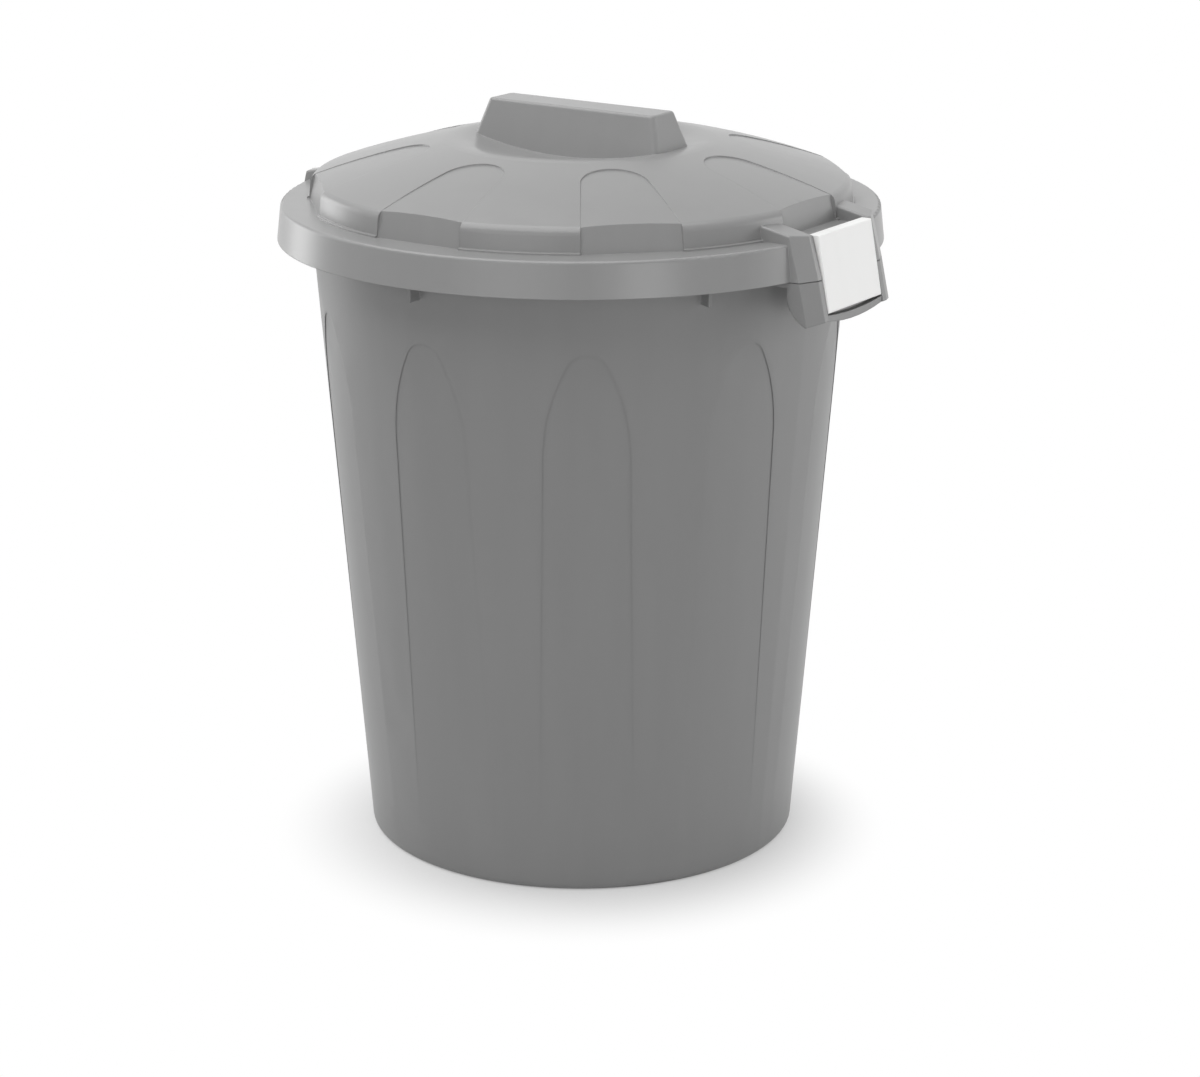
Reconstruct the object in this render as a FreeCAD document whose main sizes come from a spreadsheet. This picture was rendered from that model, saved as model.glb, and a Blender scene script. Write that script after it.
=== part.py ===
"""Round bin of about 50 litres with a domed lift-off lid and two clips.

Origin at the middle of the foot on the floor, +Z up, +X through the right-hand clip.
Lengths are millimetres.
"""
import FreeCAD, Part
import math
import os
import types

import Sketcher

SIZES = [
    ("overrun", 6, "how far a cut runs past the material it takes away"),
    # bin
    ("bin_height", 490, "floor to the top of the rim"),
    ("foot_radius", 165.5, "outside of the tapered wall, carried down to the floor"),
    ("mouth_radius", 203.5, "outside of the tapered wall, carried up to the top of the rim"),
    ("bin_wall", 3, "thickness of the tapered wall"),
    ("base_lift", 8, "floor to the underside of the base"),
    ("base_wall", 3.5, "thickness of the base"),
    ("foot_width", 8, "width of the foot ring at the floor"),
    ("foot_round", 4, "rounding outside the foot"),
    ("base_round", 9, "rounding inside, between base and wall"),
    ("rim_width", 17.5, "how far the rim stands out from the mouth of the wall"),
    ("rim_wall", 2.8, "thickness of the rim"),
    ("rim_drop", 20, "height of the turned-down lip"),
    ("rim_round", 1.2, "rounding of the rim's top edge"),
    ("flute_count", 10, "arched flutes around the wall"),
    ("flute_depth", 0.6, "depth of a flute at its tip"),
    ("flute_foot", 34, "height at which the flutes run out"),
    ("flute_drop", 58, "top of the rim to where the sides of a flute's arch would meet"),
    ("flute_arch", 90, "height of a flute's arch"),
    ("flute_half_width", 31.5, "half the width of a flute at its shoulder"),
    ("flute_foot_half_width", 35, "half the width of a flute at its foot"),
    ("flute_tip_round", 16, "rounding at the top of the arch"),
    ("ridge_bite", 0.8, "how far the back of a flute reaches into the wall"),
    ("gusset_count", 6, "ribs under the rim"),
    ("gusset_wall", 2.6, "thickness of a rib under the rim"),
    ("gusset_drop", 37.5, "top of the rim to the foot of a rib"),
    ("gusset_set", 9, "how far the outer edge of a rib lies inside the rim"),
    # side handles of the bin
    ("handle_half_width", 58.5, "half the width of a side handle"),
    ("slot_half_width", 38.4, "half the width of the bay that the clip lies in"),
    ("seam_gap", 0.5, "gap between the lid's cheeks and the bin's ears"),
    ("web_wall", 4, "thickness of the web that carries the ears"),
    ("plate_gap", 0.6, "gap between the back of a clip and the plate behind it"),
    ("plate_wall", 2.8, "thickness of that plate, between the ears"),
    ("ear_lean", 6.4, "how far the ear's face leans out towards its foot"),
    ("ear_drop", 28.8, "height of the ear's face"),
    ("heel_set", 7.4, "how far the ear's lowest point lies behind the foot of its face"),
    ("heel_drop", 31.1, "top of the ear to its lowest point"),
    ("ear_back_set", 4, "how far the back of the ear lies inside the rim"),
    ("ear_back_drop", 11, "height of the straight back of the ear"),
    ("ear_back_round", 25.5, "radius of the curved back of the ear"),
    ("ear_wall", 2.8, "wall of the hollow ear"),
    ("corner_depth", 7, "how far the cut at an ear's or a cheek's outer corner reaches back along its flank"),
    ("corner_width", 15, "how far that cut reaches in along the face"),
    ("bar_set", 1.2, "how far the carrying bar under the plate lies behind the foot of the ear's face"),
    ("bar_height", 4.2, "height of the carrying bar at its ends"),
    ("bar_sag", 4, "how far the carrying bar bows down in the middle"),
    ("bar_top_sag", 2.6, "how far the top of the carrying bar bows down"),
    # lid
    ("lid_wall", 2.5, "thickness of the lid"),
    ("lid_side_gap", 1.5, "gap between the rim and the top of the skirt around it"),
    ("skirt_lean", 3, "how far the skirt leans in towards its top"),
    ("skirt_drop", 26.2, "height of the skirt"),
    ("skirt_round", 2.5, "rounding of the skirt's top edge"),
    ("dome_inset", 17, "how far the upright wall below the dome stands inside the rim"),
    ("dome_wall_lean", 1.5, "how far that wall leans in"),
    ("dome_wall_height", 17.5, "height of that wall above the lid's flange"),
    ("dome_round", 7, "rounding between wall and dome"),
    ("bead_width", 1.8, "width of the bead around the foot of the dome wall"),
    ("bead_height", 1.6, "height of that bead"),
    ("bead_round", 0.7, "rounding of that bead"),
    ("crest_radius", 93, "radius of the crest around the dish under the grip"),
    ("crest_height", 47, "height of the crest above the lid's flange"),
    ("crest_round", 45, "rounding of the crest"),
    ("dish_depth", 12.5, "depth of the dish below the crest"),
    ("petal_count", 8, "recessed petals around the dome"),
    ("petal_set", 21, "crest to the tip of a petal"),
    ("petal_round", 24.8, "radius of a petal's tip"),
    ("petal_depth", 1.3, "depth of a petal at the crest"),
    ("petal_edge_depth", 0.2, "depth of a petal at the outer edge of the dome"),
    ("petal_face_set", 0.5, "depth of a petal's flat face where its sides meet the dome wall"),
    ("petal_face_lean", 4, "how far that face leans in over the height of the dome wall"),
    ("grip_half_length", 74.5, "half the length of the grip at its top"),
    ("grip_half_width", 14.8, "half the width of the grip at its top"),
    ("grip_height", 71, "top of the grip above the lid's flange"),
    ("grip_depth", 48, "top of the grip to the plane where its sides end inside the dish"),
    ("grip_flare", 14.3, "how far the sides of the grip spread over that depth"),
    ("grip_corner_round", 4.5, "rounding of the grip's upright corners"),
    ("grip_top_round", 2.5, "rounding of the grip's top edges"),
    ("arm_root", 10, "how far an arm reaches in past the dome wall"),
    ("arm_inner_height", 11.5, "top of an arm above the flange at its inner end"),
    ("arm_outer_height", 5, "top of an arm above the flange at its outer end"),
    ("cheek_stand", 6, "how far the cheek's face stands out from the skirt at its foot"),
    ("cheek_lean", 8.5, "how far the cheek's face leans in towards its top"),
    ("arm_round", 1.6, "rounding of the arms' top edges"),
    # clips
    ("clip_side_gap", 0.8, "gap between a clip and the bay on each side"),
    ("clip_top_height", 4.5, "top of a clip above the lid's flange"),
    ("clip_drop", 55, "height of a clip"),
    ("clip_stand", 4.1, "how far a clip's face stands out from the cheek at its top"),
    ("clip_set", 0.6, "how far a clip's face lies behind the foot of the ear's face"),
    ("clip_wall", 2.6, "thickness of the clip's face and top"),
    ("clip_side_wall", 2.2, "thickness of the clip's sides"),
    ("clip_depth", 5, "depth of the clip's sides"),
    ("clip_round", 1.2, "rounding of the clip's face"),
    ("barrel_radius", 1.9, "radius of the barrel along the clip's top inner edge"),
    ("barrel_gap", 0.3, "gap between the barrel and the lid's flange"),
    ("clip_top_depth", 8, "front of a clip's top to the axis that it turns on"),
    ("trunnion_radius", 1.6, "radius of the pegs at the ends of the barrel"),
    ("trunnion_length", 2.2, "how far a peg reaches into the cheek"),
    ("running_gap", 0.1, "gap around a peg in its hole"),
    ("catch_half_width", 18, "half the width of the catch inside a clip"),
    ("catch_height", 1.5, "height of the catch's nose"),
    ("catch_slope", 5, "height of the slope under the catch's nose"),
    ("catch_gap", 0.3, "gap between the catch and the plate behind it"),
    ("catch_drop", 0.8, "gap between the web's underside and the top of the catch"),
    ("rib_wall", 1.6, "thickness of the two ribs inside a clip"),
    ("rib_place", 13, "middle of the clip to each rib"),
    ("rib_depth", 2.2, "how far a rib stands off the clip's face"),
]

MATCH = 0.01
UP = FreeCAD.Vector(0, 0, 1)


class Length:
    """A length together with the spreadsheet formula that gives it."""

    def __init__(self, formula, value):
        self.formula = formula
        self.value = value

    def __add__(self, other):
        return Length(f"({self.formula} + {other.formula})", self.value + other.value)

    def __sub__(self, other):
        return Length(f"({self.formula} - {other.formula})", self.value - other.value)

    def __mul__(self, other):
        return Length(f"({self.formula} * {other.formula})", self.value * other.value)

    def __truediv__(self, other):
        return Length(f"({self.formula} / {other.formula})", self.value / other.value)

    def __neg__(self):
        return Length(f"(0 - {self.formula})", -self.value)

    def root(self):
        return Length(f"sqrt({self.formula})", math.sqrt(self.value))

    def half(self):
        return Length(f"({self.formula} / 2)", self.value / 2)


ZERO = Length("0", 0.0)

doc = FreeCAD.newDocument("bin_with_lid")
sheet = doc.addObject("Spreadsheet::Sheet", "Sizes")


def enter(row, alias, content, meaning):
    """One row of the sheet: name, value or formula, and meaning."""
    sheet.set(f"A{row}", alias)
    sheet.set(f"B{row}", content)
    sheet.set(f"C{row}", meaning)
    sheet.setAlias(f"B{row}", alias)


def fill_sheet():
    """The driving dimensions."""
    for row, (alias, value, meaning) in enumerate(SIZES, start=1):
        enter(row, alias, str(value), meaning)
    doc.recompute()
    return types.SimpleNamespace(**{
        alias: Length(f"Sizes.{alias}", float(getattr(sheet, alias))) for alias, _, _ in SIZES})


def derive(alias, length, meaning):
    """A size that follows from others, added to the sheet."""
    row = len(SIZES) + len(derived) + 1
    enter(row, alias, "=" + length.formula.replace("Sizes.", ""), meaning)
    derived.append(alias)
    doc.recompute()
    return Length(f"Sizes.{alias}", length.value)


size = fill_sheet()
derived = []

# Heights that several pieces share.
flange_top = derive("flange_top", size.bin_height + size.lid_wall, "top of the lid's flange")
seam = derive("seam", flange_top - size.skirt_drop, "lower edge of the lid")
ear_top = derive("ear_top", seam - size.seam_gap, "top of the bin's ears")
web_under = derive("web_under", ear_top - size.web_wall, "underside of the web that carries the ears")
clip_top = derive("clip_top", flange_top + size.clip_top_height, "top of a clip")
clip_foot = derive("clip_foot", clip_top - size.clip_drop, "foot of a clip")
clip_axis = derive("clip_axis", flange_top + size.barrel_gap + size.barrel_radius, "axis of a clip")
crest = derive("crest", flange_top + size.crest_height, "top of the crest")
wall_top = derive("wall_top", flange_top + size.dome_wall_height, "top of the dome wall")
grip_top = derive("grip_top", flange_top + size.grip_height, "top of the grip")
flute_tip = derive("flute_tip", size.bin_height - size.flute_drop, "where the sides of a flute's arch meet")
flute_shoulder = derive("flute_shoulder", flute_tip - size.flute_arch, "where a flute's arch springs")

# Distances from the middle that several pieces share.
rim_radius = derive("rim_radius", size.mouth_radius + size.rim_width, "outside of the rim")
skirt_top_radius = derive("skirt_top_radius", rim_radius + size.lid_side_gap + size.lid_wall,
                          "outside of the skirt at its top")
skirt_radius = derive("skirt_radius", skirt_top_radius + size.skirt_lean, "outside of the skirt at its foot")
dome_wall_radius = derive("dome_wall_radius", rim_radius - size.dome_inset,
                          "outside of the dome wall at its foot")
wall_top_radius = derive("wall_top_radius", dome_wall_radius - size.dome_wall_lean, "and at its top")
petal_centre = derive("petal_centre", size.crest_radius + size.petal_set + size.petal_round,
                      "middle of a petal's round tip")
arm_foot_reach = derive("arm_foot_reach", dome_wall_radius - size.arm_root, "inner end of an arm")
cheek_foot_reach = derive("cheek_foot_reach", skirt_radius + size.cheek_stand, "foot of the cheek's face")
cheek_top_reach = derive("cheek_top_reach", cheek_foot_reach - size.cheek_lean, "top of the cheek's face")
ear_foot_reach = derive("ear_foot_reach", cheek_foot_reach + size.ear_lean, "foot of the ear's face")
ear_back_reach = derive("ear_back_reach", rim_radius - size.ear_back_set, "back of the ear")
clip_top_reach = derive("clip_top_reach", cheek_top_reach + size.clip_stand, "top of the clip's face")
clip_foot_reach = derive("clip_foot_reach", ear_foot_reach - size.clip_set, "foot of the clip's face")
clip_axis_reach = derive("clip_axis_reach", clip_top_reach - size.clip_top_depth, "axis of a clip")
clip_half_width = derive("clip_half_width", size.slot_half_width - size.clip_side_gap, "half a clip's width")

# The dome is part of a ball whose middle lies on the upright axis.
dome_rise = derive("dome_rise", crest - wall_top, "top of the dome wall to the crest")
dome_drop = derive("dome_drop", (dome_rise * dome_rise + wall_top_radius * wall_top_radius
                                 - size.crest_radius * size.crest_radius) / (dome_rise + dome_rise),
                   "crest to the middle of the ball")
dome_radius = derive("dome_radius", (dome_drop * dome_drop + size.crest_radius * size.crest_radius).root(),
                     "radius of the ball")


def wall_radius(height):
    """Outside radius of the tapered wall at a height."""
    return size.foot_radius + (size.mouth_radius - size.foot_radius) * height / size.bin_height


def clip_face(height):
    """Distance of the clip's face from the middle at a height."""
    spread = clip_foot_reach - clip_top_reach
    return clip_top_reach + spread * (clip_top - height) / size.clip_drop


def plate_face(height):
    """Distance of the plate behind the clip from the middle at a height."""
    return clip_face(height) - size.clip_depth - size.plate_gap


def new_body(name):
    body = doc.addObject("PartDesign::Body", name)
    body.AllowCompound = True
    return body


def origin_feature(body, role):
    return next(feature for feature in body.Origin.OriginFeatures if feature.Role == role)


def bend_edge(start, end, bend):
    """An arc from start to end. The bend's side is +1 with its centre on the left, -1 on the right."""
    radius, side = bend
    chord = end - start
    middle = (start + end) * 0.5
    left = FreeCAD.Vector(-chord.y, chord.x, 0).normalize()
    rise = math.sqrt(max(radius.value ** 2 - (chord.Length / 2) ** 2, 0))
    centre = middle + left * (side * rise)
    first, last = (start, end) if side > 0 else (end, start)
    turns = [math.atan2(point.y - centre.y, point.x - centre.x) for point in (first, last)]
    return Part.ArcOfCircle(Part.Circle(centre, UP, radius.value), turns[0], turns[1])


def outline(body, name, plane, corners, bends=None, offset=None):
    """A closed sketch through corners, pairs of lengths, with every corner bound to the sheet."""
    bends = bends or {}
    sketch = body.newObject("Sketcher::SketchObject", name)
    sketch.AttachmentSupport = [(origin_feature(body, plane), "")]
    sketch.MapMode = "FlatFace"
    if offset is not None:
        sketch.setExpression("AttachmentOffset.Base.z", offset.formula)
    points = [FreeCAD.Vector(across.value, up.value, 0) for across, up in corners]
    count = len(points)
    heads, tails = [], []
    for edge in range(count):
        start, end = points[edge], points[(edge + 1) % count]
        bend = bends.get(edge)
        backwards = bend is not None and bend[1] < 0
        heads.append(2 if backwards else 1)
        tails.append(1 if backwards else 2)
        shape = Part.LineSegment(start, end) if bend is None else bend_edge(start, end, bend)
        sketch.addGeometry(shape, False)
    for edge in range(count):
        follower = (edge + 1) % count
        sketch.addConstraint(Sketcher.Constraint("Coincident", edge, tails[edge], follower, heads[follower]))
    for edge, (across, up) in enumerate(corners):
        for kind, length in (("DistanceX", across), ("DistanceY", up)):
            rule = Sketcher.Constraint(kind, -1, 1, edge, heads[edge], length.value)
            bind(sketch, sketch.addConstraint(rule), length)
    for edge, (radius, _) in bends.items():
        bind(sketch, sketch.addConstraint(Sketcher.Constraint("Radius", edge, radius.value)), radius)
    return sketch


def bind(sketch, index, length):
    sketch.setExpression(f"Constraints[{index}]", length.formula)


def circle(body, name, plane, across, up, radius):
    """A sketch of one circle, bound to the sheet."""
    sketch = body.newObject("Sketcher::SketchObject", name)
    sketch.AttachmentSupport = [(origin_feature(body, plane), "")]
    sketch.MapMode = "FlatFace"
    sketch.addGeometry(Part.Circle(FreeCAD.Vector(across.value, up.value, 0), UP, radius.value), False)
    for kind, length in (("DistanceX", across), ("DistanceY", up)):
        bind(sketch, sketch.addConstraint(Sketcher.Constraint(kind, -1, 1, 0, 3, length.value)), length)
    bind(sketch, sketch.addConstraint(Sketcher.Constraint("Radius", 0, radius.value)), radius)
    return sketch


def spin(body, sketch, name, kind="Revolution"):
    """A full turn of a section about the upright axis."""
    feature = body.newObject(f"PartDesign::{kind}", name)
    feature.Profile = sketch
    feature.ReferenceAxis = (sketch, ["V_Axis"])
    feature.Angle = 360
    return settled(body, feature, kind == "Groove")


def extrude(body, sketch, name, length, kind="Pad", symmetric=True):
    """A pad or pocket, symmetric about its sketch or along the sketch's normal."""
    feature = body.newObject(f"PartDesign::{kind}", name)
    feature.Profile = sketch
    feature.setExpression("Length", length.formula)
    if symmetric:
        feature.SideType = "Symmetric"
    else:
        feature.Reversed = kind == "Pocket"
    return settled(body, feature, kind == "Pocket")


def settled(body, feature, cuts):
    """Rebuilds, and stops where a cut took nothing away."""
    before = body.Shape.Volume if body.Shape and not body.Shape.isNull() else 0.0
    doc.recompute()
    if cuts and not body.Shape.Volume < before:
        raise RuntimeError(f"{feature.Name} cuts nothing")
    return feature


def around(body, originals, name, count):
    """Copies of features, evenly spaced around the upright axis."""
    pattern = body.newObject("PartDesign::PolarPattern", name)
    pattern.Originals = originals
    pattern.Axis = (origin_feature(body, "Z_Axis"), [""])
    pattern.Angle = 360
    if isinstance(count, Length):
        pattern.setExpression("Occurrences", count.formula)
    else:
        pattern.Occurrences = count
    body.Tip = pattern
    doc.recompute()
    return pattern


def rounded(body, name, radius, chosen):
    """Rounds every edge of the body that the test picks."""
    base = body.Tip
    edges = [f"Edge{number}" for number, edge in enumerate(base.Shape.Edges, start=1) if chosen(edge)]
    if not edges:
        raise RuntimeError(f"{name} finds no edge to round")
    feature = body.newObject("PartDesign::Fillet", name)
    feature.Base = (base, edges)
    feature.setExpression("Radius", radius.formula)
    doc.recompute()
    return feature


def flank_leads(shape, edge):
    """Whether the first of the two faces at an outer corner is the flank."""
    normal = shape.ancestorsOfType(edge, Part.Face)[0].normalAt(0, 0)
    return abs(normal.y) > abs(normal.x)


def cut_back(body, name, inset, chosen):
    """Cuts the picked outer corners back flat, with the cut moved in by the inset."""
    depth, width = size.corner_depth, size.corner_width
    spare = depth + width - (depth * depth + width * width).root()
    for order, flipped in (("first", False), ("last", True)):
        base = body.Tip
        edges = [f"Edge{number}" for number, edge in enumerate(base.Shape.Edges, start=1)
                 if chosen(edge) and flank_leads(base.Shape, edge) != flipped]
        if edges:
            feature = body.newObject("PartDesign::Chamfer", f"{name}_{order}")
            feature.Base = (base, edges)
            feature.ChamferType = "Two distances"
            feature.FlipDirection = flipped
            feature.setExpression("Size", (depth - inset * spare / width).formula)
            feature.setExpression("Size2", (width - inset * spare / depth).formula)
            doc.recompute()


def ring(radius, height):
    """Picks the level circle of a radius at a height."""
    def chosen(edge):
        if edge.Degenerated:
            return False
        curve = edge.Curve
        return (isinstance(curve, Part.Circle) and abs(curve.Radius - radius.value) < MATCH
                and abs(curve.Center.z - height.value) < MATCH)
    return chosen


def corner_line(half_width, face):
    """Picks the straight edges at the outer corners of a face, given as height -> reach."""
    def chosen(edge):
        ends = [vertex.Point for vertex in edge.Vertexes]
        return len(ends) == 2 and abs(ends[0].z - ends[1].z) > MATCH and all(
            abs(abs(end.y) - half_width.value) < MATCH and abs(abs(end.x) - face(end.z)) < MATCH
            for end in ends)
    return chosen


def sloping_face(top_reach, top, foot_reach, foot):
    """Reach of a sloping face at a height."""
    def reach(height):
        share = (top.value - height) / (top.value - foot.value)
        return top_reach.value + (foot_reach.value - top_reach.value) * share
    return reach


def sloping_height(inner_reach, inner, outer_reach, outer):
    """Height of a sloping top at a reach."""
    def height(reach):
        share = (reach - inner_reach.value) / (outer_reach.value - inner_reach.value)
        return inner.value + (outer.value - inner.value) * share
    return height


def combine(kind, name, **links):
    """A boolean of whole objects."""
    feature = doc.addObject(f"Part::{kind}", name)
    for link, value in links.items():
        setattr(feature, link, value)
    doc.recompute()
    return feature


def bin_shell():
    """The tub without its flutes: wall, base, rim, ribs and the two side handles."""
    body = new_body("bin_shell")
    rim_under = size.bin_height - size.rim_wall
    lip_inside = rim_radius - size.rim_wall
    lip_foot = size.bin_height - size.rim_drop
    foot_inside = size.foot_radius - size.foot_width
    section = outline(body, "bin_section", "XZ_Plane", [
        (ZERO, size.base_lift),
        (foot_inside, size.base_lift),
        (foot_inside, ZERO),
        (size.foot_radius, ZERO),
        (wall_radius(rim_under), rim_under),
        (lip_inside, rim_under),
        (lip_inside, lip_foot),
        (rim_radius, lip_foot),
        (rim_radius, size.bin_height),
        (ZERO, size.bin_height),
    ])
    spin(body, section, "bin_mass")
    rounded(body, "foot_rounding", size.foot_round, ring(size.foot_radius, ZERO))
    rounded(body, "rim_rounding", size.rim_round, ring(rim_radius, size.bin_height))
    gussets(body, rim_under)
    side_handles(body)
    inside_foot = size.base_lift + size.base_wall
    over = size.bin_height + size.overrun
    cavity = outline(body, "bin_cavity_section", "XZ_Plane", [
        (ZERO, inside_foot),
        (wall_radius(inside_foot) - size.bin_wall, inside_foot),
        (wall_radius(over) - size.bin_wall, over),
        (ZERO, over),
    ])
    spin(body, cavity, "bin_cavity", "Groove")
    rounded(body, "base_rounding", size.base_round,
            ring(wall_radius(inside_foot) - size.bin_wall, inside_foot))
    return body


def gussets(body, rim_under):
    """Thin upright ribs between the wall and the underside of the rim."""
    foot = size.bin_height - size.gusset_drop
    edge = rim_radius - size.gusset_set
    shape = outline(body, "gusset_outline", "YZ_Plane", [
        (wall_radius(foot) - size.bin_wall, foot),
        (edge, foot),
        (edge, rim_under),
        (wall_radius(rim_under) - size.bin_wall, rim_under),
    ])
    rib = extrude(body, shape, "gusset", size.gusset_wall)
    around(body, [rib], "gusset_ring", size.gusset_count)


def side_handles(body):
    """On both sides a hollow box under a web: two ears, and between them a plate set back for the
    clip, with a bar along its foot to lift the bin by."""
    ear_foot = ear_top - size.ear_drop
    heel = ear_top - size.heel_drop
    width = size.handle_half_width + size.handle_half_width
    box = extrude(body, outline(body, "ear_outline", "XZ_Plane", [
        (ear_back_reach, ear_top),
        (ear_back_reach, ear_top - size.ear_back_drop),
        (ear_foot_reach - size.heel_set, heel),
        (ear_foot_reach, ear_foot),
        (cheek_foot_reach, ear_top),
    ], {1: (size.ear_back_round, 1)}), "ear_block", width)
    web = extrude(body, outline(body, "web_outline", "XZ_Plane", [
        (size.foot_radius, web_under),
        (cheek_foot_reach, web_under),
        (cheek_foot_reach, ear_top),
        (size.foot_radius, ear_top),
    ]), "web", width)
    below = heel - size.overrun
    behind = ear_back_reach - size.overrun
    slope = (ear_foot_reach - cheek_foot_reach) / size.ear_drop
    hollow = extrude(body, outline(body, "ear_hollow_outline", "XZ_Plane", [
        (behind, web_under),
        (behind, below),
        (cheek_foot_reach + slope * (ear_top - below) - size.ear_wall, below),
        (cheek_foot_reach + slope * size.web_wall - size.ear_wall, web_under),
    ]), "ear_hollow", width - size.ear_wall - size.ear_wall, "Pocket")
    flank = size.slot_half_width + size.ear_wall
    plate = extrude(body, outline(body, "plate_outline", "XZ_Plane", [
        (plate_face(ear_top) - size.plate_wall, ear_top),
        (plate_face(ear_foot) - size.plate_wall, ear_foot),
        (ear_foot_reach, ear_foot),
        (cheek_foot_reach, ear_top),
    ]), "plate_block", flank + flank)
    front = ear_foot_reach + size.overrun
    above = ear_top + size.overrun
    bay = extrude(body, outline(body, "bay_outline", "XZ_Plane", [
        (plate_face(below), below),
        (front, below),
        (front, above),
        (plate_face(above), above),
    ]), "bay", size.slot_half_width + size.slot_half_width, "Pocket")
    bar = carrying_bar(body, ear_foot)
    around(body, [box, web, hollow, plate, bay, bar], "handle_pair", 2)
    inner_face = sloping_face(cheek_foot_reach - size.ear_wall, ear_top,
                              ear_foot_reach - size.ear_wall, ear_foot)
    cut_back(body, "ear_hollow_corner", size.ear_wall,
             corner_line(size.handle_half_width - size.ear_wall, inner_face))
    face = sloping_face(cheek_foot_reach, ear_top, ear_foot_reach, ear_foot)
    cut_back(body, "ear_corner", ZERO, corner_line(size.handle_half_width, face))


def arch_radius(half_span, rise):
    """Radius of an arc over a span with a rise."""
    return (half_span * half_span + rise * rise) / (rise + rise)


def carrying_bar(body, foot):
    """The bar along the foot of the plate, bowed down in the middle."""
    end = size.slot_half_width + size.ear_wall.half()
    top = foot + size.bar_height
    back = plate_face(foot) - size.plate_wall
    shape = outline(body, "bar_outline", "YZ_Plane", [
        (-end, top),
        (-end, foot),
        (end, foot),
        (end, top),
    ], {1: (arch_radius(end, size.bar_sag), 1), 3: (arch_radius(end, size.bar_top_sag), -1)}, offset=back)
    return extrude(body, shape, "bar", ear_foot_reach - size.bar_set - back, symmetric=False)


def flute_prisms():
    """Arched blocks standing where the flutes are, all around the bin."""
    body = new_body("flute_prisms")
    rise = flute_tip - flute_shoulder
    arch = arch_radius(rise, size.flute_half_width)
    foot = size.flute_foot - size.overrun
    near = size.foot_radius - size.bin_wall - size.overrun
    shape = outline(body, "flute_outline", "XZ_Plane", [
        (-size.flute_foot_half_width, foot),
        (size.flute_foot_half_width, foot),
        (size.flute_half_width, flute_shoulder),
        (ZERO, flute_tip),
        (-size.flute_half_width, flute_shoulder),
    ], {2: (arch, 1), 3: (arch, 1)}, offset=near)
    block = extrude(body, shape, "flute_block", rim_radius - near, symmetric=False)
    around(body, [block], "flute_ring", size.flute_count)

    def tip_line(edge):
        return all(abs(vertex.Point.z - flute_tip.value) < MATCH for vertex in edge.Vertexes)

    rounded(body, "flute_tip_rounding", size.flute_tip_round, tip_line)
    return body


def cone(name, foot_radius, top_radius):
    """An upright cone as tall as the bin."""
    feature = doc.addObject("Part::Cone", name)
    for field, length in (("Radius1", foot_radius), ("Radius2", top_radius), ("Height", size.bin_height)):
        feature.setExpression(field, length.formula)
    doc.recompute()
    return feature


def make_bin():
    """The tub, with its flutes pressed in outside and standing out inside."""
    shell = bin_shell()
    prisms = flute_prisms()
    run = flute_tip - size.flute_foot
    foot_rise = size.flute_depth * size.flute_foot / run
    top_fall = size.flute_depth * (size.bin_height - size.flute_foot) / run
    floor = cone("flute_floor", size.foot_radius + foot_rise, size.mouth_radius - top_fall)
    flutes = combine("Cut", "flutes", Base=prisms, Tool=floor)
    back = size.bin_wall - size.ridge_bite
    ridge_root = cone("ridge_root", size.foot_radius - back, size.mouth_radius - back)
    ridge_crown = cone("ridge_crown", size.foot_radius + foot_rise - size.bin_wall,
                       size.mouth_radius - top_fall - size.bin_wall)
    ridge_ring = combine("Cut", "ridge_ring", Base=ridge_root, Tool=ridge_crown)
    ridges = combine("Common", "ridges", Base=prisms, Tool=ridge_ring)
    fluted = combine("Cut", "fluted_shell", Base=shell, Tool=flutes)
    return combine("Fuse", "bin_body", Base=fluted, Tool=ridges)


def dome_height(radius):
    """Height of the dome's curve at a radius."""
    return crest - dome_drop + (dome_radius * dome_radius - radius * radius).root()


def lid_mass():
    """The lid as a full block: dish, crest, dome, upright wall with its bead, flange and skirt."""
    body = new_body("lid_mass")
    bead_radius = dome_wall_radius + size.bead_width
    bead_top = flange_top + size.bead_height
    section = outline(body, "lid_section", "XZ_Plane", [
        (ZERO, crest - size.dish_depth),
        (size.crest_radius, crest),
        (wall_top_radius, wall_top),
        (dome_wall_radius, bead_top),
        (bead_radius, bead_top),
        (bead_radius, flange_top),
        (skirt_top_radius, flange_top),
        (skirt_radius, seam),
        (ZERO, seam),
    ], {0: (arch_radius(size.crest_radius, size.dish_depth), 1), 1: (dome_radius, -1)})
    spin(body, section, "lid_block")
    rounded(body, "crest_rounding", size.crest_round, ring(size.crest_radius, crest))
    rounded(body, "dome_rounding", size.dome_round, ring(wall_top_radius, wall_top))
    rounded(body, "bead_rounding", size.bead_round, ring(bead_radius, bead_top))
    rounded(body, "skirt_rounding", size.skirt_round, ring(skirt_top_radius, flange_top))
    return body


def lid_cavity():
    """The space under the lid, one wall thickness inside the block."""
    body = new_body("lid_cavity")
    wall = size.lid_wall
    inner_radius = wall_top_radius - wall
    below = seam - size.overrun
    section = outline(body, "lid_cavity_section", "XZ_Plane", [
        (ZERO, crest - size.dish_depth - wall),
        (size.crest_radius, crest - wall),
        (inner_radius, dome_height(inner_radius) - wall),
        (dome_wall_radius - wall, size.bin_height),
        (skirt_top_radius - wall, size.bin_height),
        (skirt_radius - wall, seam),
        (skirt_radius - wall, below),
        (ZERO, below),
    ], {0: (arch_radius(size.crest_radius, size.dish_depth), 1), 1: (dome_radius, -1)})
    spin(body, section, "lid_space")
    rounded(body, "crest_under_rounding", size.crest_round, ring(size.crest_radius, crest - wall))
    rounded(body, "dome_under_rounding", size.dome_round - wall,
            ring(inner_radius, dome_height(inner_radius) - wall))
    return body


def petal_side(radius):
    """Distance from the upright axis along a petal's side to its round tip."""
    return (petal_centre * petal_centre - radius * radius).root()


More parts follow.
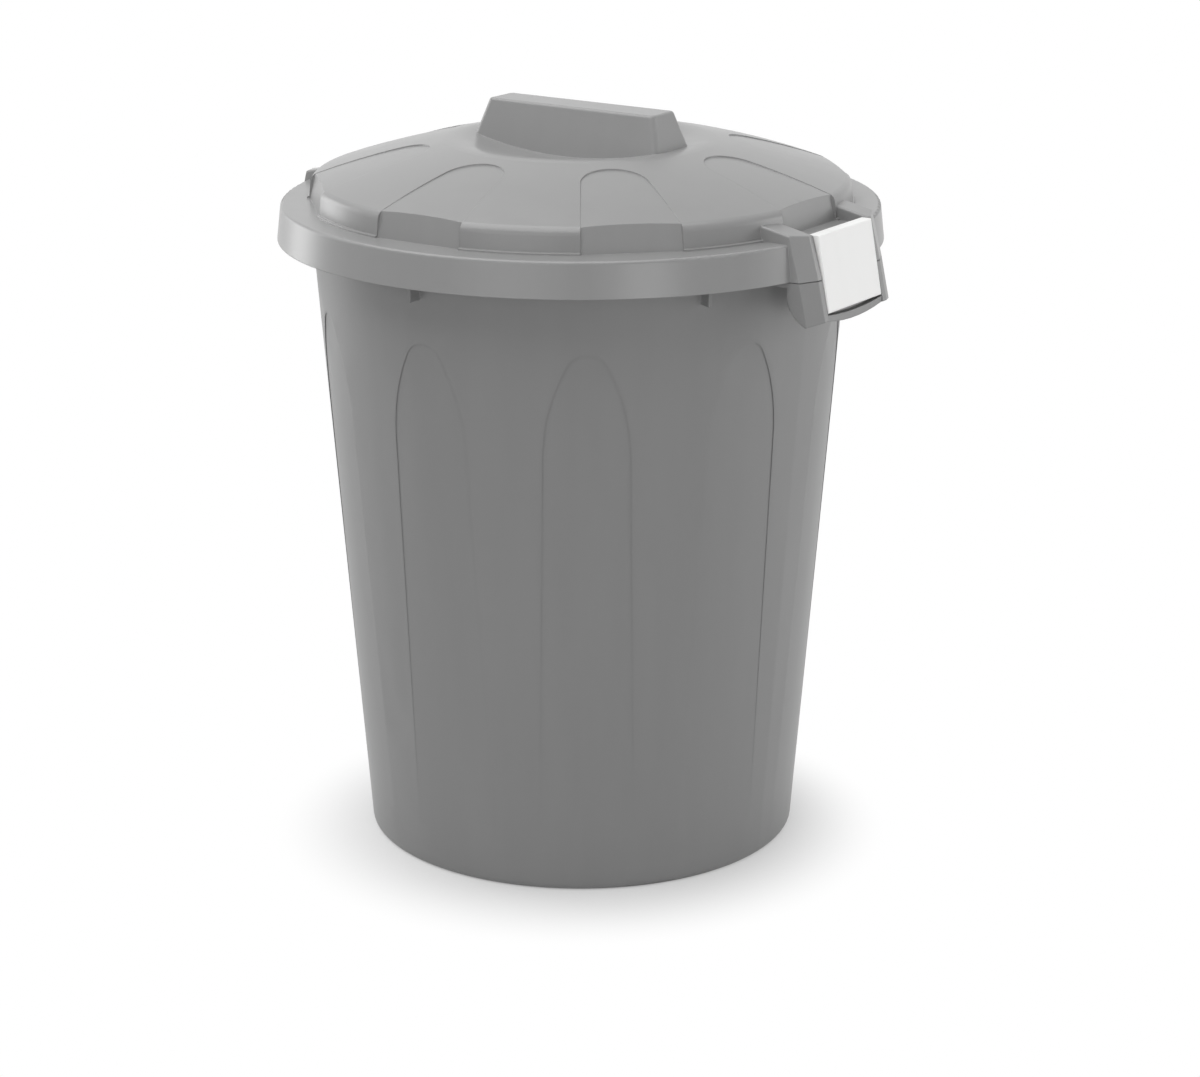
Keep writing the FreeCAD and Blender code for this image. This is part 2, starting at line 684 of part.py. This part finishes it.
def petal_floor(name, inset):
    """The block that is left standing inside the petals, with a flat face at the end of each."""
    body = new_body(name)
    middle = crest - size.petal_depth - inset
    below = size.bin_height - size.overrun
    section = outline(body, f"{name}_section", "XZ_Plane", [
        (ZERO, below),
        (dome_wall_radius, below),
        (dome_wall_radius, dome_height(dome_wall_radius) - size.petal_edge_depth - inset),
        (size.crest_radius, middle),
        (ZERO, middle),
    ], {2: (dome_radius, 1)})
    spin(body, section, f"{name}_block")
    chord = dome_wall_radius * petal_side(size.petal_round) / petal_centre
    foot = chord - size.petal_face_set - inset
    lean = size.petal_face_lean / size.dome_wall_height
    front = dome_wall_radius + size.overrun
    widest = size.petal_round + size.lid_wall
    half_width = dome_wall_radius * widest / petal_side(widest)
    face = extrude(body, outline(body, f"{name}_face_outline", "XZ_Plane", [
        (foot + lean * (flange_top - below), below),
        (front, below),
        (front, crest),
        (foot - lean * (crest - flange_top), crest),
    ]), f"{name}_face", half_width + half_width, "Pocket")
    around(body, [face], f"{name}_faces", size.petal_count)
    return body


def petal_prisms(name, growth, foot):
    """Round-tipped blocks standing where the petals are, all around the lid."""
    body = new_body(name)
    radius = size.petal_round + growth
    side = petal_side(radius)
    touch_reach = side * side / petal_centre
    touch_width = side * radius / petal_centre
    reach = dome_wall_radius + size.bead_width + size.bead_width
    half_width = reach * radius / side
    shape = outline(body, f"{name}_outline", "XY_Plane", [
        (reach, -half_width),
        (reach, half_width),
        (touch_reach, touch_width),
        (touch_reach, -touch_width),
    ], {2: (radius, 1)}, offset=foot)
    block = extrude(body, shape, f"{name}_block", crest - foot, symmetric=False)
    around(body, [block], f"{name}_ring", size.petal_count)
    return body


def grip(name, inset):
    """The tapered grip across the dish, or the space inside it."""
    body = new_body(name)
    spread = size.grip_flare * inset / size.grip_depth
    along = size.grip_half_length + spread - inset
    across = size.grip_half_width + spread - inset
    shape = outline(body, f"{name}_outline", "XY_Plane", [
        (-along, -across),
        (along, -across),
        (along, across),
        (-along, across),
    ], offset=grip_top - inset)
    sides = extrude(body, shape, f"{name}_sides", size.grip_depth - inset, symmetric=False)
    sides.Reversed = True
    sides.setExpression("TaperAngle", f"atan({size.grip_flare.formula} / {size.grip_depth.formula})")
    doc.recompute()

    def upright(edge):
        ends = [vertex.Point.z for vertex in edge.Vertexes]
        return len(ends) == 2 and abs(ends[0] - ends[1]) > MATCH

    rounded(body, f"{name}_corner_rounding", size.grip_corner_round - inset, upright)
    return body


def top_edges(height):
    """Picks the edges that lie in a level plane."""
    def chosen(edge):
        return all(abs(vertex.Point.z - height.value) < MATCH for vertex in edge.Vertexes)
    return chosen


def arm_top(reach):
    """Height of the top of an arm at a reach."""
    fall = size.arm_inner_height - size.arm_outer_height
    run = cheek_top_reach - arm_foot_reach
    return flange_top + size.arm_inner_height - fall * (reach - arm_foot_reach) / run


def arms(name, inset, inner_end, foot):
    """Two pairs of arms with their cheeks, or the spaces inside them."""
    body = new_body(name)
    slope = (cheek_foot_reach - cheek_top_reach) / (arm_top(cheek_top_reach) - seam)
    front_foot = cheek_foot_reach + slope * (seam - foot) - inset
    front_top = cheek_top_reach - inset
    top = arm_top(front_top) - inset
    shape = outline(body, f"{name}_outline", "XZ_Plane", [
        (inner_end, foot),
        (front_foot, foot),
        (front_top, top),
        (inner_end, arm_top(inner_end) - inset),
    ])
    half_width = size.handle_half_width - inset
    block = extrude(body, shape, f"{name}_block", half_width + half_width)
    behind = inner_end - size.overrun
    front = cheek_foot_reach + size.overrun
    below = foot - size.overrun
    above = arm_top(arm_foot_reach) + size.overrun
    bay_half_width = size.slot_half_width + inset
    bay = extrude(body, outline(body, f"{name}_bay_outline", "XZ_Plane", [
        (behind, below),
        (front, below),
        (front, above),
        (behind, above),
    ]), f"{name}_bay", bay_half_width + bay_half_width, "Pocket")
    around(body, [block, bay], f"{name}_pair", 2)
    cut_back(body, f"{name}_corner", inset,
             corner_line(half_width, sloping_face(front_top, top, front_foot, foot)))
    return body


def peg_holes():
    """Holes in the cheeks for the pegs that the clips turn on."""
    body = new_body("peg_holes")
    reach = size.slot_half_width + size.lid_wall + size.running_gap
    hole = extrude(body, circle(body, "peg_hole_outline", "XZ_Plane", clip_axis_reach, clip_axis,
                                size.trunnion_radius + size.running_gap), "peg_hole", reach + reach)
    around(body, [hole], "peg_hole_pair", 2)
    return body


def make_lid():
    """The lid: a thin shell with recessed petals, a hollow grip and two pairs of hollow arms."""
    petals = combine("Cut", "petals", Base=petal_prisms("petal_prisms", ZERO, flange_top),
                     Tool=petal_floor("petal_floor", ZERO))
    petal_backs = combine("Cut", "petal_backs",
                          Base=petal_prisms("petal_back_prisms", size.lid_wall, size.bin_height),
                          Tool=petal_floor("petal_back_floor", size.lid_wall))
    outside = combine("Cut", "lid_outside", Base=lid_mass(), Tool=petals)
    inside = combine("Cut", "lid_inside", Base=lid_cavity(), Tool=petal_backs)
    grip_outside = grip("grip_outside", ZERO)
    rounded(grip_outside, "grip_top_rounding", size.grip_top_round, top_edges(grip_top))
    arm_blocks = arms("arm_blocks", ZERO, arm_foot_reach, seam)

    def arm_top_edge(edge):
        ends = [vertex.Point for vertex in edge.Vertexes]
        return all(abs(end.z - top_height(abs(end.x))) < MATCH for end in ends)

    top_height = sloping_height(arm_foot_reach, arm_top(arm_foot_reach),
                                cheek_top_reach, arm_top(cheek_top_reach))
    rounded(arm_blocks, "arm_rounding", size.arm_round, arm_top_edge)
    arm_spaces = arms("arm_spaces", size.lid_wall, dome_wall_radius + size.lid_wall,
                      seam - size.overrun)
    solid = combine("MultiFuse", "lid_solid", Shapes=[outside, grip_outside, arm_blocks])
    hollow = combine("MultiFuse", "lid_hollow",
                     Shapes=[inside, grip("grip_inside", size.lid_wall), arm_spaces, peg_holes()])
    return combine("Cut", "lid", Base=solid, Tool=hollow)


def make_clip(name, turn):
    """A clip: a face with sides, a top that reaches in to the barrel, pegs, ribs and a catch."""
    body = new_body(name)
    wall = size.clip_wall
    width = clip_half_width + clip_half_width
    extrude(body, outline(body, f"{name}_block_outline", "XZ_Plane", [
        (clip_top_reach - size.clip_depth, clip_top),
        (clip_foot_reach - size.clip_depth, clip_foot),
        (clip_foot_reach, clip_foot),
        (clip_top_reach, clip_top),
    ]), f"{name}_block", width)
    on_face = sloping_face(clip_top_reach, clip_top, clip_foot_reach, clip_foot)

    def face_edge(edge):
        return all(abs(vertex.Point.x - on_face(vertex.Point.z)) < MATCH for vertex in edge.Vertexes)

    rounded(body, f"{name}_face_rounding", size.clip_round, face_edge)
    ceiling = clip_top - wall
    below = clip_foot - size.overrun
    behind = clip_axis_reach - size.overrun
    extrude(body, outline(body, f"{name}_hollow_outline", "XZ_Plane", [
        (behind, ceiling),
        (behind, below),
        (clip_face(below) - wall, below),
        (clip_face(ceiling) - wall, ceiling),
    ]), f"{name}_hollow", width - size.clip_side_wall - size.clip_side_wall, "Pocket")
    extrude(body, outline(body, f"{name}_top_outline", "XZ_Plane", [
        (clip_axis_reach, ceiling),
        (clip_top_reach - wall, ceiling),
        (clip_top_reach - wall, clip_top),
        (clip_axis_reach, clip_top),
    ]), f"{name}_top", width)
    extrude(body, circle(body, f"{name}_barrel_outline", "XZ_Plane", clip_axis_reach, clip_axis,
                         size.barrel_radius), f"{name}_barrel", width)
    peg_reach = size.slot_half_width + size.trunnion_length
    extrude(body, circle(body, f"{name}_peg_outline", "XZ_Plane", clip_axis_reach, clip_axis,
                         size.trunnion_radius), f"{name}_pegs", peg_reach + peg_reach)
    ribs(body, name, ceiling)
    catch_top = web_under - size.catch_drop
    nose_foot = catch_top - size.catch_height
    slope_foot = nose_foot - size.catch_slope
    root = wall.half()
    extrude(body, outline(body, f"{name}_catch_outline", "XZ_Plane", [
        (plate_face(catch_top) + size.catch_gap, catch_top),
        (plate_face(nose_foot) + size.catch_gap, nose_foot),
        (clip_face(slope_foot) - root, slope_foot),
        (clip_face(catch_top) - root, catch_top),
    ]), f"{name}_catch", size.catch_half_width + size.catch_half_width)
    body.Placement = FreeCAD.Placement(FreeCAD.Vector(), FreeCAD.Rotation(UP, turn))
    return body


def ribs(body, name, ceiling):
    """Two low upright ribs that stiffen the clip's face from behind."""
    root = size.clip_wall.half()
    stand = size.clip_wall + size.rib_depth
    for side, place in (("near", size.rib_place), ("far", -size.rib_place - size.rib_wall)):
        shape = outline(body, f"{name}_{side}_rib_outline", "XZ_Plane", [
            (clip_face(ceiling) - stand, ceiling),
            (clip_foot_reach - stand, clip_foot),
            (clip_foot_reach - root, clip_foot),
            (clip_face(ceiling) - root, ceiling),
        ], offset=place)
        extrude(body, shape, f"{name}_{side}_rib", size.rib_wall, symmetric=False)


def export(objects):
    """Stops on any failed object, then writes one file per sub-part."""
    doc.recompute()
    for feature in doc.Objects:
        if "Invalid" in feature.State or "Error" in feature.State:
            raise RuntimeError(f"{feature.Name} failed: {feature.State}")
    for feature in objects:
        shape = feature.Shape
        if shape.isNull() or not shape.isValid() or len(shape.Solids) != 1:
            raise RuntimeError(f"{feature.Label} is not one valid solid")
    os.makedirs("parts", exist_ok=True)
    for feature in objects:
        print(feature.Label, round(feature.Shape.Volume), "mm3")
        feature.Shape.exportStep(f"parts/{feature.Label}.step")


export([make_bin(), make_lid(), make_clip("clip_right", 0), make_clip("clip_left", 180)])
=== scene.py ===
import math

import bpy
from mathutils import Euler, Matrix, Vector


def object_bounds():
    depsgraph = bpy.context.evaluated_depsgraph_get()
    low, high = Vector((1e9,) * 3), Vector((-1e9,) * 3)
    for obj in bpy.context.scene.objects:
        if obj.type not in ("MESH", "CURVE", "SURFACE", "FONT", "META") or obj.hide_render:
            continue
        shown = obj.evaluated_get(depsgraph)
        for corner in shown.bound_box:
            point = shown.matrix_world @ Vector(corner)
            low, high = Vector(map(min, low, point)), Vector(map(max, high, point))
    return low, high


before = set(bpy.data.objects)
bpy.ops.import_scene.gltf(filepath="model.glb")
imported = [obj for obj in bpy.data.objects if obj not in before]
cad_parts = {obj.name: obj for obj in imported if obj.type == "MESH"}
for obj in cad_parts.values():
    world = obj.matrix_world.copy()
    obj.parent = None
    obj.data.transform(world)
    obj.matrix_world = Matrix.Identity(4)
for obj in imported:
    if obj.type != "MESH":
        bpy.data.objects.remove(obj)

bl_info = {
    "name": "Lidded Waste Bin",
    "version": (1, 0, 0),
    "blender": (4, 2, 0),
    "location": "View3D > Sidebar > Waste Bin",
    "description": "Finishes a round bin with a domed clip-on lid and sets its studio",
    "category": "Object",
}

CAD_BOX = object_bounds()
MILLIMETRE = 0.001
SENSOR_WIDTH = 36.0
WHITE = (1.0, 1.0, 1.0, 1.0)
POLYPROPYLENE_IOR = 1.49
GLOSS_SPREAD = 0.05
GRAIN_STRENGTH = 0.06
GRAIN_DEPTH = 0.1 * MILLIMETRE
EDGE_SAMPLES = 8
# Share of plain white that the floor shows to the camera in the middle of its partly painted shadow.
SHADOW_WHITE = 0.3
# Soft boxes: degrees to the right of the camera, then in metres the distance from the bin's axis, the height
# of the middle above the floor, the width and the height of the box.
SOFT_BOXES = {
    "top": (-65, 1.0, 2.6, 3.2, 3.2),
    "key": (23, 2.2, 0.4, 0.7, 0.5),
    "front": (-25, 3.0, 0.9, 1.6, 1.6),
    "left": (-120, 1.5, 0.55, 0.6, 0.9),
    "right": (88, 1.4, 0.5, 0.7, 0.8),
}


def linear(hex_colour):
    """Linear red, green, blue and alpha of an sRGB hex colour."""
    channels = [int(hex_colour[place:place + 2], 16) / 255 for place in (1, 3, 5)]
    return [c / 12.92 if c <= 0.04045 else ((c + 0.055) / 1.055) ** 2.4 for c in channels] + [1.0]


def add(tree, kind, inputs=None, **settings):
    """A node with its settings, and its inputs set or linked."""
    made = tree.nodes.new(kind)
    for name, value in settings.items():
        setattr(made, name, value)
    for name, value in (inputs or {}).items():
        if isinstance(value, bpy.types.NodeSocket):
            tree.links.new(value, made.inputs[name])
        else:
            made.inputs[name].default_value = value
    return made


class WasteBinLooks(bpy.types.PropertyGroup):
    """Colours and surface of the mouldings."""

    bin_colour: bpy.props.FloatVectorProperty(
        name="Bin Colour", description="Colour of the bin",
        subtype="COLOR", size=4, min=0.0, max=1.0, default=linear("#898989"))
    bin_streak_colour: bpy.props.FloatVectorProperty(
        name="Bin Streak Colour", description="Colour of the faint flow streaks in the bin",
        subtype="COLOR", size=4, min=0.0, max=1.0, default=linear("#838383"))
    # Painted light: the lid's colour and streak colour are the bin's grey painted a shade lighter, standing
    # in for the extra light that the lid's skirt catches.
    lid_colour_with_painted_light: bpy.props.FloatVectorProperty(
        name="Lid Colour", description="Colour of the lid, a shade lighter than the bin",
        subtype="COLOR", size=4, min=0.0, max=1.0, default=linear("#929292"))
    lid_streak_colour_with_painted_light: bpy.props.FloatVectorProperty(
        name="Lid Streak Colour", description="Colour of the faint flow streaks in the lid",
        subtype="COLOR", size=4, min=0.0, max=1.0, default=linear("#8d8d8d"))
    clip_colour: bpy.props.FloatVectorProperty(
        name="Clip Colour", description="Colour of the clips",
        subtype="COLOR", size=4, min=0.0, max=1.0, default=linear("#f8f8f7"))
    clip_streak_colour: bpy.props.FloatVectorProperty(
        name="Clip Streak Colour", description="Colour of the faint flow streaks in the clips",
        subtype="COLOR", size=4, min=0.0, max=1.0, default=linear("#f3f3f2"))
    bin_roughness: bpy.props.FloatProperty(
        name="Bin Roughness", description="How far the bin spreads its reflections",
        subtype="FACTOR", min=0.0, max=1.0, default=0.4)
    lid_roughness: bpy.props.FloatProperty(
        name="Lid Roughness", description="How far the lid spreads its reflections",
        subtype="FACTOR", min=0.0, max=1.0, default=0.31)
    clip_roughness: bpy.props.FloatProperty(
        name="Clip Roughness", description="How far the clips spread their reflections",
        subtype="FACTOR", min=0.0, max=1.0, default=0.36)
    grain: bpy.props.FloatProperty(
        name="Grain", description="Width of the grain left by the mould",
        subtype="DISTANCE", unit="LENGTH", min=0.0001, default=1.2 * MILLIMETRE)
    streak_width: bpy.props.FloatProperty(
        name="Streak Width", description="Width of the flow streaks",
        subtype="DISTANCE", unit="LENGTH", min=0.001, default=22 * MILLIMETRE)
    streak_length: bpy.props.FloatProperty(
        name="Streak Length", description="Length of the flow streaks, up the wall",
        subtype="DISTANCE", unit="LENGTH", min=0.001, default=260 * MILLIMETRE)
    flute_softness: bpy.props.FloatProperty(
        name="Flute Softness", description="Radius that the eye sees on the edges of the flutes",
        subtype="DISTANCE", unit="LENGTH", min=0.0, default=6 * MILLIMETRE)
    flute_top: bpy.props.FloatProperty(
        name="Flute Top", description="Height below which the edges are as soft as the flutes",
        subtype="DISTANCE", unit="LENGTH", min=0.0, default=425 * MILLIMETRE)
    rim_softness: bpy.props.FloatProperty(
        name="Rim Softness",
        description="Radius that the eye sees on the edges of the rim and the handles",
        subtype="DISTANCE", unit="LENGTH", min=0.0, default=1.2 * MILLIMETRE)
    lid_softness: bpy.props.FloatProperty(
        name="Lid Softness",
        description="Radius that the eye sees on the edges of the lid and its petals",
        subtype="DISTANCE", unit="LENGTH", min=0.0, default=0.8 * MILLIMETRE)
    clip_softness: bpy.props.FloatProperty(
        name="Clip Softness", description="Radius that the eye sees on the edges of the clips",
        subtype="DISTANCE", unit="LENGTH", min=0.0, default=0.6 * MILLIMETRE)


class WasteBinStage(bpy.types.PropertyGroup):
    """Floor, light and camera of the studio."""

    camera_place: bpy.props.FloatVectorProperty(
        name="Camera Place", description="Where the camera stands",
        subtype="TRANSLATION", unit="LENGTH", size=3, default=(1.3439, -1.9336, 0.9571))
    camera_aim: bpy.props.FloatVectorProperty(
        name="Camera Aim", description="The point in the middle of the picture",
        subtype="TRANSLATION", unit="LENGTH", size=3, default=(0.012, 0.0081, 0.2242))
    lens: bpy.props.FloatProperty(
        name="Lens", description="Focal length on a 36 mm wide sensor, in millimetres",
        min=10.0, default=95.18)
    floor_colour: bpy.props.FloatVectorProperty(
        name="Floor Colour", description="Colour of the floor",
        subtype="COLOR", size=4, min=0.0, max=1.0, default=linear("#d6d6d6"))
    floor_width: bpy.props.FloatProperty(
        name="Floor Width", description="Width of the square floor",
        subtype="DISTANCE", unit="LENGTH", min=1.0, default=40.0)
    # The floor's shadow is partly painted: a round fade to white about this middle, laid over the real
    # shadow from the lamps.
    shadow_middle: bpy.props.FloatVectorProperty(
        name="Shadow Middle", description="Middle of the soft shadow on the floor",
        subtype="TRANSLATION", unit="LENGTH", size=3, default=(0.014, -0.0225, 0.0))
    shadow_core: bpy.props.FloatProperty(
        name="Shadow Core", description="Radius at which the shadow on the floor starts to fade",
        subtype="DISTANCE", unit="LENGTH", min=0.0, default=0.13)
    shadow_reach: bpy.props.FloatProperty(
        name="Shadow Reach", description="Radius at which the shadow on the floor has faded to white",
        subtype="DISTANCE", unit="LENGTH", min=0.1, default=0.243)
    room_light: bpy.props.FloatProperty(
        name="Room Light", description="Level of the even light from all around",
        min=0.0, default=0.2)
    top_power: bpy.props.FloatProperty(
        name="Top Power", description="Power of the wide soft box overhead",
        subtype="POWER", unit="POWER", min=0.0, default=72.0)
    key_power: bpy.props.FloatProperty(
        name="Key Power", description="Power of the low soft box beside the camera",
        subtype="POWER", unit="POWER", min=0.0, default=4.8)
    front_power: bpy.props.FloatProperty(
        name="Front Power", description="Power of the wide soft box in front",
        subtype="POWER", unit="POWER", min=0.0, default=9.0)
    left_power: bpy.props.FloatProperty(
        name="Left Power", description="Power of the tall soft box on the left",
        subtype="POWER", unit="POWER", min=0.0, default=5.4)
    right_power: bpy.props.FloatProperty(
        name="Right Power", description="Power of the soft box on the right",
        subtype="POWER", unit="POWER", min=0.0, default=5.4)


def moulded_polypropylene(name, colour, streak_colour, roughness, softness, looks, flute_softness=None):
    """Moulded polypropylene: an even satin skin with a fine grain from the mould, a soft sheen at
    a glance, and faint streaks where the melt ran up the wall."""
    material = bpy.data.materials.new(name)
    material.use_nodes = True
    tree = material.node_tree
    tree.nodes.clear()
    place = add(tree, "ShaderNodeTexCoord").outputs["Object"]
    stretched = add(tree, "ShaderNodeMapping", {
        "Vector": place,
        "Scale": (1 / looks.streak_width, 1 / looks.streak_width, 1 / looks.streak_length),
    }).outputs["Vector"]
    streaks = add(tree, "ShaderNodeTexNoise", {
        "Vector": stretched, "Scale": 1.0, "Detail": 3.0, "Roughness": 0.5,
    }).outputs["Fac"]
    tone = add(tree, "ShaderNodeMix", {
        "Factor": streaks, 6: streak_colour, 7: colour,
    }, data_type="RGBA").outputs[2]
    # The real grain is about 0.3 mm; it is drawn coarser so that it shows at this distance.
    grain = add(tree, "ShaderNodeTexNoise", {
        "Vector": place, "Scale": 1 / looks.grain, "Detail": 2.0, "Roughness": 0.6,
    }).outputs["Fac"]
    gloss = add(tree, "ShaderNodeMapRange", {
        "Value": streaks, "To Min": roughness - GLOSS_SPREAD, "To Max": roughness + GLOSS_SPREAD,
    }).outputs["Result"]
    radius = softness
    if flute_softness is not None:
        height = add(tree, "ShaderNodeSeparateXYZ", {"Vector": place}).outputs["Z"]
        radius = add(tree, "ShaderNodeMapRange", {
            "Value": height, "From Min": looks.flute_top, "From Max": looks.flute_top + flute_softness,
            "To Min": flute_softness, "To Max": softness,
        }).outputs["Result"]
    soft_edge = add(tree, "ShaderNodeBevel", {"Radius": radius}, samples=EDGE_SAMPLES).outputs["Normal"]
    skin = add(tree, "ShaderNodeBump", {
        "Strength": GRAIN_STRENGTH, "Distance": GRAIN_DEPTH, "Height": grain, "Normal": soft_edge,
    }).outputs["Normal"]
    plastic = add(tree, "ShaderNodeBsdfPrincipled", {
        "Base Color": tone, "Roughness": gloss, "Normal": skin, "IOR": POLYPROPYLENE_IOR,
    }).outputs["BSDF"]
    add(tree, "ShaderNodeOutputMaterial", {"Surface": plastic})
    return material


def dress(name, material):
    """Gives a moulded piece its material."""
    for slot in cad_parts[name].material_slots:
        slot.material = material


class WASTEBIN_OT_bin(bpy.types.Operator):
    """Finish the bin in grey polypropylene"""

    bl_idname = "wastebin.bin"
    bl_label = "Finish Bin"

    def execute(self, context):
        looks = context.scene.waste_bin_looks
        grey = moulded_polypropylene("grey_polypropylene_bin", looks.bin_colour, looks.bin_streak_colour,
                                     looks.bin_roughness, looks.rim_softness, looks, looks.flute_softness)
        dress("bin_body", grey)
        return {"FINISHED"}


class WASTEBIN_OT_lid(bpy.types.Operator):
    """Finish the lid in grey polypropylene"""

    bl_idname = "wastebin.lid"
    bl_label = "Finish Lid"

    def execute(self, context):
        looks = context.scene.waste_bin_looks
        # The lid is the bin's grey painted a shade lighter, as painted light on the lid.
        grey = moulded_polypropylene("grey_polypropylene_lid", looks.lid_colour_with_painted_light, looks.lid_streak_colour_with_painted_light,
                                     looks.lid_roughness, looks.lid_softness, looks)
        dress("lid", grey)
        return {"FINISHED"}


class WASTEBIN_OT_clips(bpy.types.Operator):
    """Finish the two clips in white polypropylene"""

    bl_idname = "wastebin.clips"
    bl_label = "Finish Clips"

    def execute(self, context):
        looks = context.scene.waste_bin_looks
        white = moulded_polypropylene("white_polypropylene_clips", looks.clip_colour,
                                      looks.clip_streak_colour, looks.clip_roughness,
                                      looks.clip_softness, looks)
        for name in ("clip_right", "clip_left"):
            dress(name, white)
        return {"FINISHED"}


def seen_directly(tree):
    """1 for rays that show the background itself, 0 for those that carry its light."""
    path = add(tree, "ShaderNodeLightPath")
    glossy = add(tree, "ShaderNodeMath", {
        0: path.outputs["Is Camera Ray"], 1: path.outputs["Is Glossy Ray"],
    }, operation="MAXIMUM").outputs["Value"]
    return add(tree, "ShaderNodeMath", {
        0: glossy, 1: path.outputs["Is Transmission Ray"],
    }, operation="MAXIMUM").outputs["Value"]


def paper_floor(stage):
    """White seamless paper: matt, with a painted soft shadow round the bin: near the shadow's middle the
    camera sees the lit paper with the bin's real shadow, and further out this fades to plain white.
    """
    material = bpy.data.materials.new("white_paper_floor")
    material.use_nodes = True
    tree = material.node_tree
    tree.nodes.clear()
    paper = add(tree, "ShaderNodeBsdfDiffuse", {"Color": stage.floor_colour}).outputs["BSDF"]
    white = add(tree, "ShaderNodeEmission", {"Strength": 1.0}).outputs["Emission"]
    place = add(tree, "ShaderNodeTexCoord").outputs["Object"]
    distance = add(tree, "ShaderNodeVectorMath", {
        0: place, 1: stage.shadow_middle,
    }, operation="DISTANCE").outputs["Value"]
    # Painted shadow: the floor fades from its lit paper near the shadow's middle to plain white further out,
    # so a round grey zone is painted around the bin over its real shadow.
    white_around_painted_shadow = add(tree, "ShaderNodeMapRange", {
        "Value": distance, "From Min": stage.shadow_core, "From Max": stage.shadow_reach,
        "To Min": SHADOW_WHITE, "To Max": 1.0,
    }, interpolation_type="SMOOTHSTEP").outputs["Result"]
    share = add(tree, "ShaderNodeMath", {
        0: seen_directly(tree), 1: white_around_painted_shadow,
    }, operation="MULTIPLY").outputs["Value"]
    mixed = add(tree, "ShaderNodeMixShader", {0: share, 1: paper, 2: white}).outputs["Shader"]
    add(tree, "ShaderNodeOutputMaterial", {"Surface": mixed})
    return material


def lay_floor(stage):
    """The square floor that the bin stands on."""
    half = stage.floor_width / 2
    mesh = bpy.data.meshes.new("floor")
    corners = [(-half, -half, 0), (half, -half, 0), (half, half, 0), (-half, half, 0)]
    mesh.from_pydata(corners, [], [(0, 1, 2, 3)])
    mesh.materials.append(paper_floor(stage))
    floor = bpy.data.objects.new("floor", mesh)
    bpy.context.scene.collection.objects.link(floor)


def light_room(stage):
    """Even light from all around, with plain white where the room itself is seen."""
    world = bpy.data.worlds.new("studio_room")
    world.use_nodes = True
    tree = world.node_tree
    tree.nodes.clear()
    even = add(tree, "ShaderNodeBackground", {
        "Color": WHITE, "Strength": stage.room_light,
    }).outputs["Background"]
    white = add(tree, "ShaderNodeBackground", {"Color": WHITE, "Strength": 1.0}).outputs["Background"]
    mixed = add(tree, "ShaderNodeMixShader", {0: seen_directly(tree), 1: even, 2: white}).outputs["Shader"]
    add(tree, "ShaderNodeOutputWorld", {"Surface": mixed})
    bpy.context.scene.world = world


def aim(thing, target):
    """Turns a lamp or camera to look at a point."""
    thing.rotation_euler = (Vector(target) - thing.location).to_track_quat("-Z", "Y").to_euler()


def soft_box(name, place, target, width, height, power):
    """A rectangular lamp that looks at a point."""
    lamp = bpy.data.lights.new(name, "AREA")
    lamp.shape = "RECTANGLE"
    lamp.size = width
    lamp.size_y = height
    lamp.energy = power
    holder = bpy.data.objects.new(name, lamp)
    holder.location = place
    bpy.context.scene.collection.objects.link(holder)
    aim(holder, target)


def beside_camera(stage, turn, distance, height):
    """A place round the bin, by degrees to the right of the camera, distance from the axis and height."""
    place = Vector((stage.camera_place[0], stage.camera_place[1], 0)).normalized() * distance
    place.rotate(Euler((0, 0, math.radians(turn))))
    place.z = height
    return place


def hang_lamps(stage):
    """A wide soft box overhead that looks straight down, and four around the bin that look at its middle."""
    middle = Vector((0, 0, (CAD_BOX[0][2] + CAD_BOX[1][2]) / 2))
    for name, (turn, distance, height, width, tall) in SOFT_BOXES.items():
        place = beside_camera(stage, turn, distance, height)
        target = Vector((place.x, place.y, 0)) if name == "top" else middle
        soft_box(f"{name}_soft_box", place, target, width, tall, getattr(stage, f"{name}_power"))


class WASTEBIN_OT_stage(bpy.types.Operator):
    """Set the white floor, the soft light and the camera"""

    bl_idname = "wastebin.stage"
    bl_label = "Set Stage"

    def execute(self, context):
        stage = context.scene.waste_bin_stage
        lay_floor(stage)
        light_room(stage)
        hang_lamps(stage)
        camera_data = bpy.data.cameras.new("camera")
        camera_data.lens = stage.lens
        camera_data.sensor_width = SENSOR_WIDTH
        camera = bpy.data.objects.new("camera", camera_data)
        camera.location = stage.camera_place
        context.scene.collection.objects.link(camera)
        aim(camera, stage.camera_aim)
        context.scene.camera = camera
        context.scene.view_settings.view_transform = "Standard"
        return {"FINISHED"}


class WASTEBIN_PT_panel(bpy.types.Panel):
    """Lists the steps and the values that they use"""

    bl_idname = "WASTEBIN_PT_panel"
    bl_label = "Waste Bin"
    bl_space_type = "VIEW_3D"
    bl_region_type = "UI"
    bl_category = "Waste Bin"

    def draw(self, context):
        for step in STEPS:
            self.layout.operator(step.bl_idname)
        for group in (context.scene.waste_bin_looks, context.scene.waste_bin_stage):
            for name in group.__annotations__:
                self.layout.prop(group, name)


GROUPS = {"waste_bin_looks": WasteBinLooks, "waste_bin_stage": WasteBinStage}
STEPS = (WASTEBIN_OT_stage, WASTEBIN_OT_bin, WASTEBIN_OT_lid, WASTEBIN_OT_clips)
CLASSES = (*GROUPS.values(), *STEPS, WASTEBIN_PT_panel)


def register():
    """Registers the classes and hangs the values on the scene."""
    for made in CLASSES:
        bpy.utils.register_class(made)
    for name, group in GROUPS.items():
        setattr(bpy.types.Scene, name, bpy.props.PointerProperty(type=group))


def unregister():
    """Takes the values and the classes away again."""
    for name in GROUPS:
        delattr(bpy.types.Scene, name)
    for made in reversed(CLASSES):
        bpy.utils.unregister_class(made)


def main():
    """Registers the add-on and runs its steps."""
    register()
    bpy.ops.wastebin.stage()
    bpy.ops.wastebin.bin()
    bpy.ops.wastebin.lid()
    bpy.ops.wastebin.clips()


if __name__ == "__main__":
    main()
